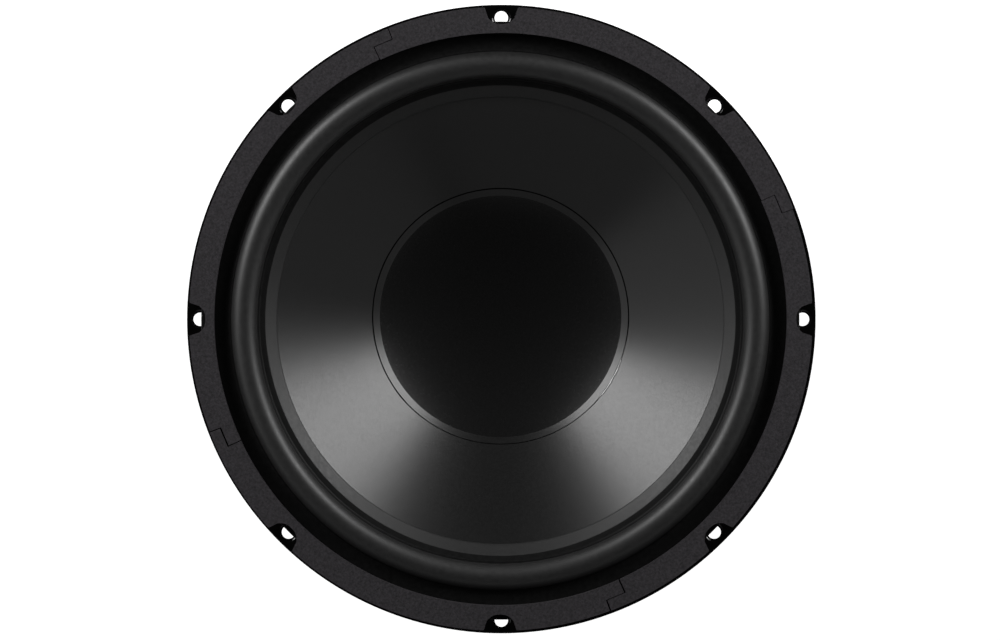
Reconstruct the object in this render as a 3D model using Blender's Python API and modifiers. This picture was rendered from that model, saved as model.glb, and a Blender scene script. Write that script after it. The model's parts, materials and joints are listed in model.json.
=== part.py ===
"""Twelve-inch car subwoofer driver, lying on its magnet with the cone facing up.

The speaker's axis is +Z, the origin is on that axis at the rear face of the magnet boot,
and one unit is one metre. Dimensions below are in millimetres and are turned into metres
by the helpers. Built with Blender 4.5.
"""

import math

import bmesh
import bpy
from mathutils import Matrix, Vector

MM = 0.001
GAP = 0.3  # clearance kept between pieces that touch on the real speaker

# ---------------------------------------------------------------- driving dimensions (mm)
OUTER_SEGMENTS = 48  # frame, cone and edge
MOTOR_SEGMENTS = 32  # magnet, plates, coil and spider

FRAME_R = 156.0  # outer radius of the frame's flange
FRAME_T = 1.6  # sheet thickness of the pressed frame
FLANGE_Z = 129.0  # front face of the flange
HOLE_COUNT = 8
HOLE_R = 3.45
HOLE_PCR = 149.6  # radius of the circle through the fixing holes

SPOKE_HALF = 12.5  # half width of each of the frame's eight spokes
WINDOW_R = (93.0, 127.0)
WINDOW_Z = (50.0, 108.5)
WINDOW_CORNER = 8.0
SPOKE_FACE_R = 122.5  # outer face of the upright part of each spoke

LEDGE_Z = 59.6  # top of the ledge that the spider is glued to
SEAT_Z = 45.3  # inside face of the frame's bottom plate

GASKET_R = (141.6, 154.9)
GASKET_Z = 135.6
GASKET_COUNT = 4
GASKET_START_DEG = 22.5
JOINT_HALF_DEG = 1.9  # half the length of the step in each gasket joint
JOINT_STEP_R = 148.7
JOINT_GAP = 0.35
LIP_R = 148.4  # outer edge of the rubber edge's flat lip
LIP_Z = (FLANGE_Z + GAP, FLANGE_Z + 1.2)

CONE_ANGLE = math.radians(31.7)
CONE_R = (26.4, 117.0)
CONE_Z = 126.6  # height of the cone's outer edge
CONE_T = 1.2
NECK_Z = 66.2  # lower end of the cone's neck

ROLL_R = 127.3  # middle of the half roll
ROLL_HALF = 6.8  # outside radius of the half roll
ROLL_Z = 129.0
BAND_R = (111.0, 117.0)  # sloping band where the edge is glued to the cone
EDGE_T = 0.8

CAP_R = 64.35
CAP_DISH_R = 60.5
CAP_T = 0.8
CAP_SLOPE = math.radians(24.0)  # slope of the concave dish at its rim

SPIDER_R = (26.5, 84.5)
SPIDER_Z = 60.5
SPIDER_WAVE = 1.5
SPIDER_T = 0.5
SPIDER_WAVES = 4

FORMER_R = (25.4, 25.9)
FORMER_Z = (26.4, 71.5)
COIL_R = (26.2, 27.6)
COIL_Z = (26.4, 52.4)

POLE_R = 25.0
POLE_Z = 45.0
VENT_R = 11.0
BACK_PLATE_R = 70.0
BACK_PLATE_Z = (1.8, 9.8)
MAGNET_R = (33.0, 75.0)
MAGNET_Z = (10.1, 35.1)
TOP_PLATE_R = (28.3, 70.0)
TOP_PLATE_Z = (35.4, 43.4)
BOOT_R = 77.5
BOOT_T = 2.2
BOOT_FLOOR = 1.5
BOOT_MOUTH_R = 24.0

SCREW_PCR = 50.0
SCREW_R = 2.0
SCREW_HEAD = (4.2, 2.2)

BLOCK = (34.0, 12.0, 20.0)  # terminal block: width, depth, height
BLOCK_Z = 86.0
PORT_Z = (91.4, 96.6)
PORT_HALF = 2.6
CHANNEL_U = 9.0  # distance of each push button from the block's middle
CHANNEL = (8.6, 7.1)
CHANNEL_TOP_Z = 104.0
BUTTON = (8.0, 6.5)
BUTTON_Z = (81.0, 95.5)
BUTTON_SLOT_Z = (88.0, 93.0)
SPRING_TURNS = 5
LEAD_R = 0.9


# ---------------------------------------------------------------- helpers
def clear_scene():
    for obj in list(bpy.data.objects):
        bpy.data.objects.remove(obj, do_unlink=True)


clear_scene()
PARTS = bpy.data.collections.new("subwoofer")
CUTTERS = bpy.data.collections.new("cutters")
bpy.context.scene.collection.children.link(PARTS)
bpy.context.scene.collection.children.link(CUTTERS)


def material(name, colour, roughness, metallic=0.0):
    made = bpy.data.materials.new(name)
    made.use_nodes = True
    shader = made.node_tree.nodes["Principled BSDF"]
    shader.inputs["Base Color"].default_value = (*colour, 1.0)
    shader.inputs["Roughness"].default_value = roughness
    shader.inputs["Metallic"].default_value = metallic
    return made


STEEL_BLACK = material("black_enamel", (0.012, 0.012, 0.013), 0.25)
GASKET_MAT = material("gasket_foam", (0.030, 0.028, 0.030), 0.75)
RUBBER = material("edge_rubber", (0.016, 0.016, 0.017), 0.5)
POLY = material("cone_poly", (0.020, 0.020, 0.020), 0.42)
CAP_MAT = material("cap_poly", (0.010, 0.010, 0.010), 0.55)
CLOTH = material("spider_cloth", (0.55, 0.42, 0.18), 0.9)
ZINC = material("zinc_plate", (0.60, 0.60, 0.58), 0.35, 0.9)
FERRITE = material("ferrite", (0.045, 0.045, 0.048), 0.6)
BOOT_MAT = material("boot_rubber", (0.020, 0.020, 0.020), 0.7)
ALUMINIUM = material("former_foil", (0.65, 0.66, 0.67), 0.35, 0.9)
COPPER = material("coil_copper", (0.72, 0.30, 0.12), 0.35, 0.9)
BRASS = material("brass_contact", (0.75, 0.58, 0.28), 0.3, 0.9)
BLOCK_MAT = material("block_plastic", (0.020, 0.020, 0.022), 0.5)
RED = material("button_red", (0.55, 0.02, 0.02), 0.4)
BLACK = material("button_black", (0.025, 0.025, 0.027), 0.4)
SPRING_STEEL = material("spring_steel", (0.50, 0.50, 0.51), 0.3, 0.9)
TINSEL = material("tinsel_braid", (0.62, 0.44, 0.26), 0.5, 0.5)


def place(obj, mat=None, collection=PARTS):
    """Link an object, give it its material, and shade it smooth between sharp edges."""
    collection.objects.link(obj)
    if mat is not None:
        obj.data.materials.append(mat)
    if obj.type == "MESH":
        obj.data.shade_smooth()
    return obj


def as_cutter(obj):
    obj.hide_render = True
    obj.display_type = "WIRE"
    return obj


def mesh_object(name, bm, mat=None, collection=PARTS):
    mesh = bpy.data.meshes.new(name)
    bm.to_mesh(mesh)
    bm.free()
    return place(bpy.data.objects.new(name, mesh), mat, collection)


def profile_object(name, points, closed, mat, collection):
    """A chain of edges in the XZ plane from (radius, height) points in millimetres."""
    bm = bmesh.new()
    verts = [bm.verts.new((r * MM, 0.0, z * MM)) for r, z in points]
    for a, b in zip(verts, verts[1:]):
        bm.edges.new((a, b))
    if closed:
        bm.edges.new((verts[-1], verts[0]))
    return mesh_object(name, bm, mat, collection)


def add_screw(obj, segments):
    screw = obj.modifiers.new("turn", "SCREW")
    screw.axis = "Z"
    screw.angle = 2 * math.pi
    screw.steps = segments
    screw.render_steps = segments
    screw.use_merge_vertices = True
    screw.merge_threshold = 0.00001
    screw.use_smooth_shade = True
    return obj


def turned(name, points, segments, mat=None, collection=PARTS):
    """A solid of revolution from a closed profile, which runs down its outer side."""
    area = sum(
        a[0] * b[1] - b[0] * a[1] for a, b in zip(points, points[1:] + points[:1])
    )
    if area > 0:
        points = points[::-1]
    obj = profile_object(name, points, True, mat, collection)
    return add_screw(obj, segments)


def shell(name, points, thickness, segments, mat):
    """A turned sheet: points run along its front face from the inside out, and the
    thickness goes to the back of them."""
    obj = profile_object(name, points, False, mat, PARTS)
    add_screw(obj, segments)
    solid = obj.modifiers.new("thickness", "SOLIDIFY")
    solid.thickness = thickness * MM
    solid.offset = -1.0
    solid.use_even_offset = True
    return obj


def ring_points(r_in, r_out, z_low, z_high, chamfer=0.0):
    if not chamfer:
        return [(r_in, z_high), (r_out, z_high), (r_out, z_low), (r_in, z_low)]
    c = chamfer
    return [
        (r_in, z_high),
        (r_out - c, z_high),
        (r_out, z_high - c),
        (r_out, z_low + c),
        (r_out - c, z_low),
        (r_in, z_low),
    ]


def cylinder(name, radius, z_low, z_high, segments, mat=None, collection=PARTS):
    bm = bmesh.new()
    bmesh.ops.create_cone(
        bm,
        cap_ends=True,
        segments=segments,
        radius1=radius * MM,
        radius2=radius * MM,
        depth=(z_high - z_low) * MM,
    )
    bmesh.ops.translate(bm, verts=bm.verts, vec=(0, 0, (z_low + z_high) / 2 * MM))
    return mesh_object(name, bm, mat, collection)


def block(name, low, high, mat=None, collection=PARTS):
    bm = bmesh.new()
    bmesh.ops.create_cube(bm, size=1.0)
    size = [(b - a) * MM for a, b in zip(low, high)]
    middle = [(a + b) / 2 * MM for a, b in zip(low, high)]
    bmesh.ops.scale(bm, verts=bm.verts, vec=size)
    bmesh.ops.translate(bm, verts=bm.verts, vec=middle)
    return mesh_object(name, bm, mat, collection)


def cut(target, cutter, operation="DIFFERENCE"):
    boolean = target.modifiers.new("cut_" + cutter.name, "BOOLEAN")
    boolean.operation = operation
    boolean.solver = "EXACT"
    boolean.object = as_cutter(cutter)
    return target


def joined_cutter(name, pieces):
    """One cutter from several that don't touch each other."""
    bm = bmesh.new()
    for piece in pieces:
        mesh = piece.data.copy()
        mesh.transform(piece.matrix_world)
        bm.from_mesh(mesh)
        bpy.data.meshes.remove(mesh)
        bpy.data.objects.remove(piece, do_unlink=True)
    return mesh_object(name, bm, None, CUTTERS)


def turn(obj, degrees, axis="Z"):
    obj.matrix_world = Matrix.Rotation(math.radians(degrees), 4, axis) @ obj.matrix_world
    return obj


def polar(radius, degrees):
    a = math.radians(degrees)
    return (radius * math.cos(a), radius * math.sin(a))


def arc(radius, start, end, pitch=360.0 / OUTER_SEGMENTS):
    """Points along an arc, with every whole pitch between its ends."""
    step = 1 if end > start else -1
    first = math.floor(start / pitch + 1e-6) + 1 if step > 0 else math.ceil(start / pitch - 1e-6) - 1
    angles = [start]
    k = first
    while (k * pitch < end - 0.6) if step > 0 else (k * pitch > end + 0.6):
        if abs(k * pitch - start) > 0.6:
            angles.append(k * pitch)
        k += step
    angles.append(end)
    return [polar(radius, a) for a in angles]


def rounded(points, radius, steps=4, sharp_deg=40.0):
    """The closed outline with each sharp corner replaced by an arc."""
    out = []
    n = len(points)
    for i in range(n):
        p, q, s = (Vector(points[j % n]) for j in (i - 1, i, i + 1))
        a, b = (p - q).normalized(), (s - q).normalized()
        inside = a.angle(b)
        if math.degrees(math.pi - inside) < sharp_deg:
            out.append(tuple(q))
            continue
        back = min(radius / math.tan(inside / 2), (p - q).length * 0.9, (s - q).length * 0.9)
        r = back * math.tan(inside / 2)
        centre = q + (a + b).normalized() * (r / math.sin(inside / 2))
        start, end = q + a * back - centre, q + b * back - centre
        swing = start.angle_signed(end)
        for k in range(steps + 1):
            turned_by = Matrix.Rotation(-swing * k / steps, 2)
            out.append(tuple(centre + turned_by @ start))
    return out


def flat_outline(name, points, z_low, z_high, mat=None, collection=PARTS):
    """A flat outline in the XY plane, extruded between two heights, as a mesh."""
    curve = bpy.data.curves.new(name, "CURVE")
    curve.dimensions = "2D"
    curve.fill_mode = "BOTH"
    curve.extrude = (z_high - z_low) / 2 * MM
    spline = curve.splines.new("POLY")
    spline.points.add(len(points) - 1)
    for point, (x, y) in zip(spline.points, points):
        point.co = (x * MM, y * MM, 0.0, 1.0)
    spline.use_cyclic_u = True
    guide = bpy.data.objects.new(name + "_outline", curve)
    bpy.context.scene.collection.objects.link(guide)
    graph = bpy.context.evaluated_depsgraph_get()
    mesh = bpy.data.meshes.new_from_object(guide.evaluated_get(graph))
    bpy.data.objects.remove(guide, do_unlink=True)
    bpy.data.curves.remove(curve)
    bm = bmesh.new()
    bm.from_mesh(mesh)
    bpy.data.meshes.remove(mesh)
    bmesh.ops.remove_doubles(bm, verts=bm.verts, dist=0.000005)
    bmesh.ops.translate(bm, verts=bm.verts, vec=(0, 0, (z_low + z_high) / 2 * MM))
    bmesh.ops.recalc_face_normals(bm, faces=bm.faces)
    return mesh_object(name, bm, mat, collection)


def wire(name, points, radius, sides_resolution, mat):
    curve = bpy.data.curves.new(name, "CURVE")
    curve.dimensions = "3D"
    curve.bevel_depth = radius * MM
    curve.bevel_resolution = sides_resolution
    curve.use_fill_caps = True
    spline = curve.splines.new("POLY")
    spline.points.add(len(points) - 1)
    for point, co in zip(spline.points, points):
        point.co = (co[0] * MM, co[1] * MM, co[2] * MM, 1.0)
    return place(bpy.data.objects.new(name, curve), mat)


def smooth_route(points, count):
    """Points evenly placed by parameter on a Catmull-Rom curve through the given ones."""
    pts = [Vector(p) for p in points]
    pts = [2 * pts[0] - pts[1]] + pts + [2 * pts[-1] - pts[-2]]
    spans = len(pts) - 3
    out = []
    for k in range(count):
        at = k / (count - 1) * spans
        i = min(int(at), spans - 1)
        t = at - i
        a, b, c, d = pts[i : i + 4]
        out.append(
            0.5
            * (
                2 * b
                + (c - a) * t
                + (2 * a - 5 * b + 4 * c - d) * t * t
                + (3 * b - a - 3 * c + d) * t * t * t
            )
        )
    return [tuple(p) for p in out]


def cone_z(r):
    """Height of the cone's front face at a radius."""
    return CONE_Z - (CONE_R[1] - r) * math.tan(CONE_ANGLE)


# ---------------------------------------------------------------- frame (basket)
basket_profile = [
    (34.0, SEAT_Z),
    (63.4, SEAT_Z),
    (68.8, LEDGE_Z - 1.4),
    (71.0, LEDGE_Z),
    (88.4, LEDGE_Z),
    (119.3, 79.2),
    (SPOKE_FACE_R - FRAME_T, 81.5),
    (SPOKE_FACE_R - FRAME_T, 107.0),
    (122.3, 109.0),
    (134.2, 115.8),
    (136.8, FLANGE_Z - 2.6),
    (138.9, FLANGE_Z),
    (FRAME_R, FLANGE_Z),
]
basket = shell("basket", basket_profile, FRAME_T, OUTER_SEGMENTS, STEEL_BLACK)

windows = []
for k in range(8):
    middle = 22.5 + 45.0 * k
    left, right = middle - 22.5, middle + 22.5

    def on_spoke_edge(radius, spoke, side):
        return spoke + side * math.degrees(math.asin(SPOKE_HALF / radius))

    outline = arc(WINDOW_R[0], on_spoke_edge(WINDOW_R[0], left, 1), on_spoke_edge(WINDOW_R[0], right, -1), 11.25)
    outline += arc(WINDOW_R[1], on_spoke_edge(WINDOW_R[1], right, -1), on_spoke_edge(WINDOW_R[1], left, 1), 11.25)
    windows.append(
        flat_outline(f"window_{k}", rounded(outline, WINDOW_CORNER), *WINDOW_Z, None, CUTTERS)
    )
cut(basket, joined_cutter("windows", windows))

holes = []
for k in range(HOLE_COUNT):
    hole = cylinder(f"hole_{k}", HOLE_R, FLANGE_Z - 8, FLANGE_Z + 8, 16, None, CUTTERS)
    x, y = polar(HOLE_PCR, 360.0 / HOLE_COUNT * k)
    hole.matrix_world = Matrix.Translation((x * MM, y * MM, 0))
    holes.append(hole)
for k in range(4):
    hole = cylinder(f"screw_hole_{k}", SCREW_R + 0.5, SEAT_Z - 5, SEAT_Z + 5, 12, None, CUTTERS)
    x, y = polar(SCREW_PCR, 45 + 90 * k)
    hole.matrix_world = Matrix.Translation((x * MM, y * MM, 0))
    holes.append(hole)
RIVET_Z = (BLOCK_Z + 2.6, BLOCK_Z + BLOCK[2] - 3.2)
for side in (-1, 1):
    for z in RIVET_Z:
        hole = cylinder(f"rivet_hole_{side}_{z:.0f}", 1.9, -8, 8, 12, None, CUTTERS)
        hole.matrix_world = (
            Matrix.Translation((0, side * SPOKE_FACE_R * MM, z * MM))
            @ Matrix.Rotation(math.pi / 2, 4, "X")
            @ Matrix.Rotation(math.radians(11.0), 4, "Z")
        )
        holes.append(hole)
cut(basket, joined_cutter("frame_holes", holes))

# ---------------------------------------------------------------- gasket, four segments
NOTCH_BOTTOM_R = 146.2
NOTCH_HALF = 6.6  # half width level with the hole's centre


def notch_half(radius):
    depth = (radius - NOTCH_BOTTOM_R) / (HOLE_PCR - 0.1 - NOTCH_BOTTOM_R)
    if depth <= 1:
        return NOTCH_HALF * max(depth, 0.0) ** 0.38
    return NOTCH_HALF + (radius - HOLE_PCR + 0.1) * 0.33


def notch(middle):
    """One notch around a fixing hole, as outline points in order of increasing angle."""
    radii = [GASKET_R[1], 152.3, HOLE_PCR - 0.1, 148.0, 147.0, 146.45]
    side = [(r, notch_half(r)) for r in radii]
    points = []
    for sign, run in ((-1, side), (1, side[::-1])):
        if sign > 0:
            points.append(polar(NOTCH_BOTTOM_R, middle))
        for r, half in run:
            points.append(polar(r, middle + sign * math.degrees(math.asin(half / r))))
    return points


def gasket_outline(start, end):
    inner, outer = GASKET_R
    gap_in = math.degrees(JOINT_GAP / 2 / inner)
    half = JOINT_HALF_DEG
    step = JOINT_GAP / 2
    edge = math.degrees(math.asin(notch_half(outer) / outer))
    points = arc(inner, end + half - gap_in, start + half + gap_in)
    points.append(polar(JOINT_STEP_R + step, start + half + gap_in))
    points.append(polar(JOINT_STEP_R + step, start - half + gap_in))
    at = start - half + gap_in
    for hole in (math.ceil(start / 45.0) * 45.0, math.ceil(start / 45.0) * 45.0 + 45.0):
        points += arc(outer, at, hole - edge)[:-1]
        points += notch(hole)
        at = hole + edge
    points += arc(outer, at, end - half - gap_in)[1:]
    points.append(polar(JOINT_STEP_R - step, end - half - gap_in))
    points.append(polar(JOINT_STEP_R - step, end + half - gap_in))
    return points[::-1]


for k in range(GASKET_COUNT):
    start = GASKET_START_DEG + 90.0 * k
    made = flat_outline(
        f"gasket_{k + 1}",
        gasket_outline(start, start + 90.0),
        FLANGE_Z + GAP,
        GASKET_Z,
        GASKET_MAT,
    )
    rebate = turned(
        f"gasket_rebate_{k + 1}",
        ring_points(130.0, LIP_R + 0.9, FLANGE_Z - 10, LIP_Z[1] + GAP),
        OUTER_SEGMENTS,
        None,
        CUTTERS,
    )
    cut(made, rebate)

# ---------------------------------------------------------------- rubber edge (surround)
band_lift = (GAP + EDGE_T) / math.cos(CONE_ANGLE)
edge_profile = [
    (BAND_R[0], cone_z(BAND_R[0]) + band_lift),
    (BAND_R[1] - 0.4, cone_z(BAND_R[1] - 0.4) + band_lift),
    (118.2, ROLL_Z - 0.8),
    (119.7, ROLL_Z - 0.4),
]
ROLL_STEPS = 7
for k in range(ROLL_STEPS + 1):
    a = math.radians(172.0 - (172.0 - 12.0) * k / ROLL_STEPS)
    edge_profile.append(
        (ROLL_R + ROLL_HALF * math.cos(a), ROLL_Z + ROLL_HALF * math.sin(a))
    )
edge_profile += [(135.4, LIP_Z[1]), (LIP_R, LIP_Z[1])]
shell("surround", edge_profile, EDGE_T, OUTER_SEGMENTS, RUBBER)

# ---------------------------------------------------------------- cone and dust cap
cone_profile = [
    (CONE_R[0], NECK_Z),
    (CONE_R[0], cone_z(CONE_R[0]) - 0.4),
    (CONE_R[0] + 0.8, cone_z(CONE_R[0] + 0.8)),
    (70.0, cone_z(70.0)),
    (CONE_R[1], CONE_Z),
]
shell("cone", cone_profile, CONE_T, OUTER_SEGMENTS, POLY)

cap_lift = (0.6 + CAP_T) / math.cos(CONE_ANGLE)
dish_top = cone_z(CAP_DISH_R) + cap_lift
dish_radius = CAP_DISH_R / math.sin(CAP_SLOPE)
cap_profile = []
for k in range(5):
    a = CAP_SLOPE * k / 4
    cap_profile.append(
        (
            dish_radius * math.sin(a),
            dish_top - dish_radius * (math.cos(a) - math.cos(CAP_SLOPE)),
        )
    )
cap_profile.append((CAP_R, cone_z(CAP_R) + cap_lift))
shell("dust_cap", cap_profile, CAP_T, OUTER_SEGMENTS, CAP_MAT)

# ---------------------------------------------------------------- voice coil
turned("voice_coil_former", ring_points(*FORMER_R, *FORMER_Z), MOTOR_SEGMENTS, ALUMINIUM)
turned("voice_coil", ring_points(*COIL_R, *COIL_Z), MOTOR_SEGMENTS, COPPER)

# ---------------------------------------------------------------- spider
wave_in, wave_out = 32.0, 68.5
spider_profile = [(SPIDER_R[0], SPIDER_Z - 3.2), (SPIDER_R[0], SPIDER_Z - 0.2), (SPIDER_R[0] + 0.5, SPIDER_Z)]
steps = SPIDER_WAVES * 2
for k in range(steps + 1):
    r = wave_in + (wave_out - wave_in) * k / steps
    spider_profile.append((r, SPIDER_Z + SPIDER_WAVE * (-1) ** k))
spider_profile += [(71.5, SPIDER_Z), (SPIDER_R[1], SPIDER_Z)]
shell("spider", spider_profile, SPIDER_T, MOTOR_SEGMENTS, CLOTH)

# ---------------------------------------------------------------- magnet motor
turned(
    "yoke",
    [
        (VENT_R, POLE_Z),
        (POLE_R - 0.8, POLE_Z),
        (POLE_R, POLE_Z - 0.8),
        (POLE_R, BACK_PLATE_Z[1]),
        (BACK_PLATE_R, BACK_PLATE_Z[1]),
        (BACK_PLATE_R, BACK_PLATE_Z[0]),
        (14.2, BACK_PLATE_Z[0]),
        (14.2, 4.0),
        (VENT_R, 4.0),
    ],
    MOTOR_SEGMENTS,
    ZINC,
)
turned("magnet", ring_points(*MAGNET_R, *MAGNET_Z, 1.2), MOTOR_SEGMENTS, FERRITE)
top_plate = turned(
    "top_plate", ring_points(*TOP_PLATE_R, *TOP_PLATE_Z), MOTOR_SEGMENTS, ZINC
)
taps = []
for k in range(4):
    hole = cylinder(f"tap_{k}", SCREW_R + 0.4, 30, 50, 12, None, CUTTERS)
    x, y = polar(SCREW_PCR, 45 + 90 * k)
    hole.matrix_world = Matrix.Translation((x * MM, y * MM, 0))
    taps.append(hole)
cut(top_plate, joined_cutter("taps", taps))

lip_z = (TOP_PLATE_Z[1] + GAP, TOP_PLATE_Z[1] + GAP + 1.6)
turned(
    "magnet_boot",
    [
        (68.5, lip_z[1]),
        (BOOT_R - 1.0, lip_z[1]),
        (BOOT_R, lip_z[1] - 1.0),
        (BOOT_R, 1.0),
        (BOOT_R - 1.0, 0.0),
        (BOOT_MOUTH_R, 0.0),
        (BOOT_MOUTH_R, BOOT_FLOOR),
        (BOOT_R - BOOT_T, BOOT_FLOOR),
        (BOOT_R - BOOT_T, lip_z[0]),
        (68.5, lip_z[0]),
    ],
    MOTOR_SEGMENTS,
    BOOT_MAT,
)

screen = cylinder("vent_screen", 13.8, 2.7, 3.6, 24, ZINC)
mesh_holes = []
for k in range(7):
    hole = cylinder(f"mesh_hole_{k}", 2.7, -5, 10, 8, None, CUTTERS)
    x, y = polar(0.0 if k == 6 else 7.6, 60 * k)
    hole.matrix_world = Matrix.Translation((x * MM, y * MM, 0))
    mesh_holes.append(hole)
cut(screen, joined_cutter("mesh_holes", mesh_holes))

head_r, head_h = SCREW_HEAD
for k in range(4):
    seat = SEAT_Z + GAP
    screw = turned(
        f"plate_screw_{k + 1}",
        [
            (1.1, seat + head_h),
            (head_r - 1.0, seat + head_h),
            (head_r, seat + head_h - 0.9),
            (head_r, seat),
            (SCREW_R, seat),
            (SCREW_R, 37.6),
            (SCREW_R - 0.6, 37.0),
            (0.0, 37.0),
            (0.0, seat + 0.8),
            (1.1, seat + 0.8),
        ],
        12,
        ZINC,
    )
    screw.data.transform(Matrix.Identity(4))
    x, y = polar(SCREW_PCR, 45 + 90 * k)
    screw.matrix_world = Matrix.Translation((x * MM, y * MM, 0))

# ---------------------------------------------------------------- terminals
# Each block hangs on the outside of one spoke. In the block's own frame u is across,
# v is outwards from the spoke and the pieces are turned to their side afterwards.
BACK_Y = SPOKE_FACE_R + GAP
CHANNEL_V = (2.2, 2.2 + CHANNEL[1])
number = 0
for index, side_deg in enumerate((0.0, 180.0)):
    # built on the -Y spoke, then turned about Z

    def uvz(u, v, z):
        return (u, -(BACK_Y + v), z)

    def slab(name, low, high, mat=None, collection=PARTS):
        a, b = uvz(*low), uvz(*high)
        return turn(
            block(name, [min(p) for p in zip(a, b)], [max(p) for p in zip(a, b)], mat, collection),
            side_deg,
        )

    width, depth, height = BLOCK
    body = slab(
        f"terminal_block_{index + 1}",
        (-width / 2, 0.0, BLOCK_Z),
        (width / 2, depth, BLOCK_Z + height),
        BLOCK_MAT,
    )
    cutters = []
    for s in (-1, 1):
        u = s * CHANNEL_U
        cutters.append(
            slab(
                f"channel_{index}_{s}",
                (u - CHANNEL[0] / 2, CHANNEL_V[0], BLOCK_Z - 5),
                (u + CHANNEL[0] / 2, CHANNEL_V[1], CHANNEL_TOP_Z),
                None,
                CUTTERS,
            )
        )
    cut(body, joined_cutter(f"channels_{index}", cutters))
    cutters = []
    for s in (-1, 1):
        u = s * CHANNEL_U
        cutters.append(
            slab(
                f"port_{index}_{s}",
                (u - PORT_HALF, 0.9, PORT_Z[0]),
                (u + PORT_HALF, depth + 5, PORT_Z[1]),
                None,
                CUTTERS,
            )
        )
    cut(body, joined_cutter(f"ports_{index}", cutters))
    cutters = []
    for s in (-1, 1):
        cutters.append(
            slab(
                f"contact_groove_{index}_{s}",
                (s * 5.6, -3.0, PORT_Z[0] - 0.2),
                (s * (width / 2 + 5), 1.5, PORT_Z[1] + 0.2),
                None,
                CUTTERS,
            )
        )
    for z in RIVET_Z:
        hole = cylinder(f"block_hole_{index}_{z:.0f}", 1.9, -10, 20, 12, None, CUTTERS)
        hole.matrix_world = (
            Matrix.Rotation(math.radians(side_deg), 4, "Z")
            @ Matrix.Translation((0, -BACK_Y * MM, z * MM))
            @ Matrix.Rotation(math.pi / 2, 4, "X")
            @ Matrix.Rotation(math.radians(11.0), 4, "Z")
        )
        cutters.append(hole)
    cut(body, joined_cutter(f"grooves_{index}", cutters))

    for j, z in enumerate(RIVET_Z):
        # turned about its own axis, which then points outwards along v
        inside = -(FRAME_T + GAP) - 2 * GAP
        rivet = turned(
            f"rivet_{index * 2 + j + 1}",
            [
                (0.0, depth + 1.7),
                (1.6, depth + 1.5),
                (2.8, depth + GAP + 0.3),
                (2.8, depth + GAP),
                (1.5, depth + GAP),
                (1.5, inside),
                (2.7, inside),
                (2.7, inside - 0.5),
                (1.6, inside - 1.1),
                (0.0, inside - 1.1),
            ],
            12,
            ZINC,
        )
        rivet.matrix_world = (
            Matrix.Rotation(math.radians(side_deg), 4, "Z")
            @ Matrix.Translation((0, -BACK_Y * MM, z * MM))
            @ Matrix.Rotation(math.pi / 2, 4, "X")
        )

    for s in (-1, 1):
        number += 1
        u = s * CHANNEL_U
        mid_v = sum(CHANNEL_V) / 2
        button = slab(
            f"push_button_{number}",
            (u - BUTTON[0] / 2, mid_v - BUTTON[1] / 2, BUTTON_Z[0]),
            (u + BUTTON[0] / 2, mid_v + BUTTON[1] / 2, BUTTON_Z[1]),
            RED if number % 2 else BLACK,
        )
        slot = slab(
            f"button_slot_{number}",
            (u - PORT_HALF, mid_v - 10, BUTTON_SLOT_Z[0]),
            (u + PORT_HALF, mid_v + 10, BUTTON_SLOT_Z[1]),
            None,
            CUTTERS,
        )
        cut(button, slot)

        # a coil spring standing on the button's inner end
        low, high = BUTTON_Z[1] + 0.6, CHANNEL_TOP_Z - 0.6
        coil = []
        per_turn = 8
        for i in range(SPRING_TURNS * per_turn + 1):
            a = 2 * math.pi * i / per_turn
            rise = i / (SPRING_TURNS * per_turn)
            coil.append(
                uvz(
                    u + 2.4 * math.cos(a),
                    mid_v + 2.4 * math.sin(a),
                    low + (high - low) * rise,
                )
            )
        turn(wire(f"button_spring_{number}", coil, 0.3, 0, SPRING_STEEL), side_deg)

        slab(
            f"contact_{number}",
            (s * 6.2, 0.4, PORT_Z[0] + 0.3),
            (s * 22.5, 1.2, PORT_Z[1] - 0.3),
            BRASS,
        )

        # braided lead from the contact's tab, through the window, to the coil former
        route = [
            (s * 20.2, SPOKE_FACE_R + 0.35, 94.0),
            (s * 20.0, 114.0, 95.2),
            (s * 18.6, 100.0, 92.6),
            (s * 16.2, 84.0, 84.0),
            (s * 13.2, 68.0, 74.4),
            (s * 9.8, 52.0, 68.4),
            (s * 6.8, 38.0, 65.8),
            (s * 5.0, 26.9, 65.0),
        ]
        lead = [(x, -y, z) for x, y, z in smooth_route(route, 20)]
        turn(wire(f"tinsel_lead_{number}", lead, LEAD_R, 1, TINSEL), side_deg)

for obj in CUTTERS.objects:
    as_cutter(obj)
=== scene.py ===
"""The looks of the twelve-inch car subwoofer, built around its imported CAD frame.

The speaker lies on its magnet with the cone facing up; its axis is +Z. Lengths below are
in millimetres and become metres in the helpers.
"""

import json
import math

import bmesh
import bpy
import numpy as np
from mathutils import Matrix, Vector

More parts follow.
